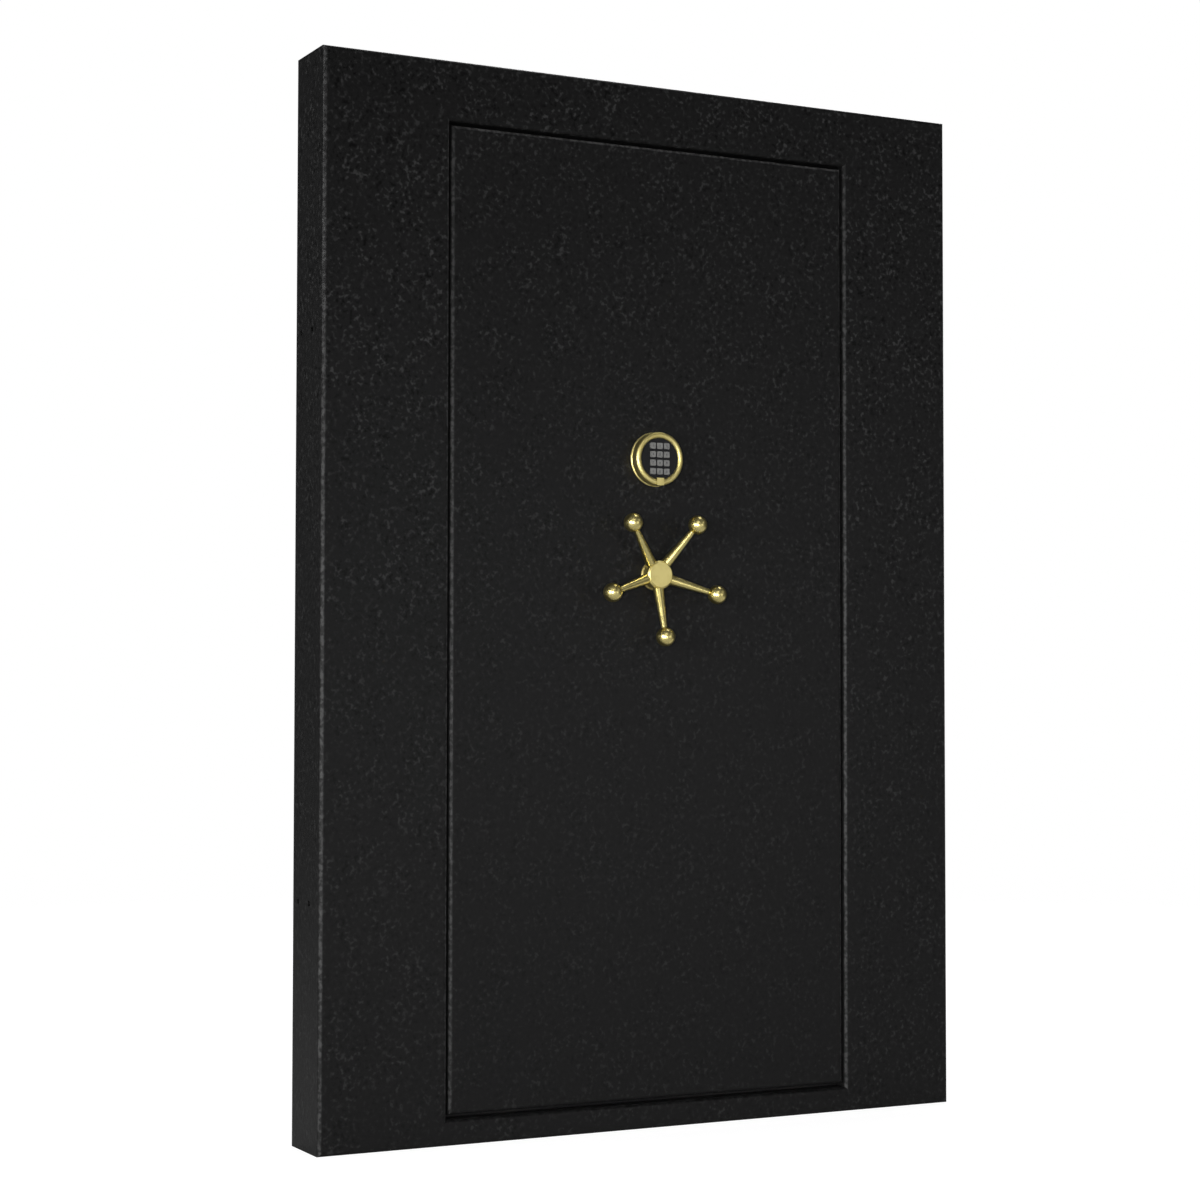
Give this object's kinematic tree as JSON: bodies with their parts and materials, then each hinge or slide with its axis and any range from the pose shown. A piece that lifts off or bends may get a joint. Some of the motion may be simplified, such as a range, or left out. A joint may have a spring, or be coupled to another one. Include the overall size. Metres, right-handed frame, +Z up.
{
  "type": "vault door",
  "caption": "Black in-swing vault room door: flush leaf in a wide steel frame, round brass keypad lock, brass spoke handle driving bolts on every side.",
  "frame": {"origin": "middle of the frame's underside, halfway through its depth", "axes": "+X to the right seen from outside, +Y into the vault, +Z up"},
  "size_m": [1.413, 0.238, 2.083],
  "materials": {
    "black_textured_paint": "satin",
    "inner_black_paint": "matte",
    "polished_brass": "satin",
    "bearing_bronze": "satin",
    "zinc_plated_steel": "satin",
    "bare_steel": "satin",
    "chromed_bolt": "polished",
    "fire_board": "matte",
    "seal_strip": "matte",
    "black_plastic": "satin",
    "key_rubber": "matte",
    "cell_wrap": "gloss"
  },
  "bodies": {
    "frame": {"frame_face": "black_textured_paint", "strike_jamb": "inner_black_paint", "hinge_jamb": "inner_black_paint", "head_jamb": "inner_black_paint", "sill_jamb": "inner_black_paint", "frame_back_plates": "inner_black_paint", "frame_screws": "zinc_plated_steel", "fire_seal": "seal_strip", "frame_hinge_plates": "bare_steel", "hinge_pins": "bare_steel", "hinge_bearings": "bearing_bronze", "anchor_sleeves": "bare_steel"},
    "leaf": {"door_skin": "black_textured_paint", "door_body": "inner_black_paint", "door_fire_board": "fire_board", "hard_plate": "bare_steel", "boltwork_plate": "bare_steel", "rear_cover": "inner_black_paint", "leaf_screws": "zinc_plated_steel", "leaf_hinge_plates": "bare_steel", "bolt_bushes": "zinc_plated_steel", "bar_guides": "zinc_plated_steel", "bearing_bridge": "bare_steel", "shaft_bushes": "bearing_bronze", "handle_escutcheon": "polished_brass", "lock_body": "zinc_plated_steel", "lock_cable": "black_plastic", "relocker_body": "zinc_plated_steel", "keypad_base": "polished_brass", "keypad_face": "black_plastic"},
    "handle": {"handle_hub": "polished_brass", "handle_spokes": "polished_brass", "handle_balls": "polished_brass", "drive_shaft": "bare_steel", "drive_pinion": "bare_steel", "escape_handle": "black_plastic"},
    "left_boltwork": {"left_bolt_bar": "bare_steel", "left_bolts": "chromed_bolt"},
    "right_boltwork": {"right_bolt_bar": "bare_steel", "right_bolts": "chromed_bolt"},
    "top_boltwork": {"top_bolt_bar": "bare_steel", "top_bolts": "chromed_bolt"},
    "bottom_boltwork": {"bottom_bolt_bar": "bare_steel", "bottom_bolts": "chromed_bolt"},
    "lock_bolt": {"lock_bolt": "bearing_bronze"},
    "relocker_pin": {"relocker_pin": "bare_steel"},
    "battery_drawer": {"battery_drawer": "polished_brass", "battery_cells": "cell_wrap"},
    "key_1": {"key_1": "key_rubber"},
    "key_2": {"key_2": "key_rubber"},
    "key_3": {"key_3": "key_rubber"},
    "key_4": {"key_4": "key_rubber"},
    "key_5": {"key_5": "key_rubber"},
    "key_6": {"key_6": "key_rubber"},
    "key_7": {"key_7": "key_rubber"},
    "key_8": {"key_8": "key_rubber"},
    "key_9": {"key_9": "key_rubber"},
    "key_star": {"key_star": "key_rubber"},
    "key_0": {"key_0": "key_rubber"},
    "key_hash": {"key_hash": "key_rubber"}
  },
  "joints": [
    {"name": "leaf_swing", "type": "hinge", "parent": "frame", "child": "leaf", "pos_m": [0.47175, 0.088, 1.008], "axis": [0, 0, -1], "range_deg": [0, 100]},
    {"name": "handle_turn", "type": "hinge", "parent": "leaf", "child": "handle", "pos_m": [0.0025, -0.067, 1.097], "axis": [0, -1, 0], "range_deg": [0, 80]},
    {"name": "left_bolts_slide", "type": "slide", "parent": "leaf", "child": "left_boltwork", "axis": [-1, 0, 0], "range_m": [0, 0.02842]},
    {"name": "right_bolts_slide", "type": "slide", "parent": "leaf", "child": "right_boltwork", "axis": [1, 0, 0], "range_m": [0, 0.02842]},
    {"name": "top_bolts_slide", "type": "slide", "parent": "leaf", "child": "top_boltwork", "axis": [0, 0, 1], "range_m": [0, 0.02842]},
    {"name": "bottom_bolts_slide", "type": "slide", "parent": "leaf", "child": "bottom_boltwork", "axis": [0, 0, -1], "range_m": [0, 0.02842]},
    {"name": "lock_bolt_slide", "type": "slide", "parent": "leaf", "child": "lock_bolt", "axis": [1, 0, 0], "range_m": [0, 0.014]},
    {"name": "relocker_slide", "type": "slide", "parent": "leaf", "child": "relocker_pin", "axis": [-1, 0, 0], "range_m": [0, 0.011]},
    {"name": "battery_drawer_slide", "type": "slide", "parent": "leaf", "child": "battery_drawer", "axis": [0, 0, -1], "range_m": [0, 0.05]},
    {"name": "key_1_press", "type": "slide", "parent": "leaf", "child": "key_1", "axis": [0, 1, 0], "range_m": [0, 0.0012], "stiffness_N_per_m": 600},
    {"name": "key_2_press", "type": "slide", "parent": "leaf", "child": "key_2", "axis": [0, 1, 0], "range_m": [0, 0.0012], "stiffness_N_per_m": 600},
    {"name": "key_3_press", "type": "slide", "parent": "leaf", "child": "key_3", "axis": [0, 1, 0], "range_m": [0, 0.0012], "stiffness_N_per_m": 600},
    {"name": "key_4_press", "type": "slide", "parent": "leaf", "child": "key_4", "axis": [0, 1, 0], "range_m": [0, 0.0012], "stiffness_N_per_m": 600},
    {"name": "key_5_press", "type": "slide", "parent": "leaf", "child": "key_5", "axis": [0, 1, 0], "range_m": [0, 0.0012], "stiffness_N_per_m": 600},
    {"name": "key_6_press", "type": "slide", "parent": "leaf", "child": "key_6", "axis": [0, 1, 0], "range_m": [0, 0.0012], "stiffness_N_per_m": 600},
    {"name": "key_7_press", "type": "slide", "parent": "leaf", "child": "key_7", "axis": [0, 1, 0], "range_m": [0, 0.0012], "stiffness_N_per_m": 600},
    {"name": "key_8_press", "type": "slide", "parent": "leaf", "child": "key_8", "axis": [0, 1, 0], "range_m": [0, 0.0012], "stiffness_N_per_m": 600},
    {"name": "key_9_press", "type": "slide", "parent": "leaf", "child": "key_9", "axis": [0, 1, 0], "range_m": [0, 0.0012], "stiffness_N_per_m": 600},
    {"name": "key_star_press", "type": "slide", "parent": "leaf", "child": "key_star", "axis": [0, 1, 0], "range_m": [0, 0.0012], "stiffness_N_per_m": 600},
    {"name": "key_0_press", "type": "slide", "parent": "leaf", "child": "key_0", "axis": [0, 1, 0], "range_m": [0, 0.0012], "stiffness_N_per_m": 600},
    {"name": "key_hash_press", "type": "slide", "parent": "leaf", "child": "key_hash", "axis": [0, 1, 0], "range_m": [0, 0.0012], "stiffness_N_per_m": 600}
  ],
  "couplings": [
    {"joint": "left_bolts_slide", "follows": "handle_turn", "m_per_rad": 0.02},
    {"joint": "right_bolts_slide", "follows": "handle_turn", "m_per_rad": 0.02},
    {"joint": "top_bolts_slide", "follows": "handle_turn", "m_per_rad": 0.02},
    {"joint": "bottom_bolts_slide", "follows": "handle_turn", "m_per_rad": 0.02}
  ]
}
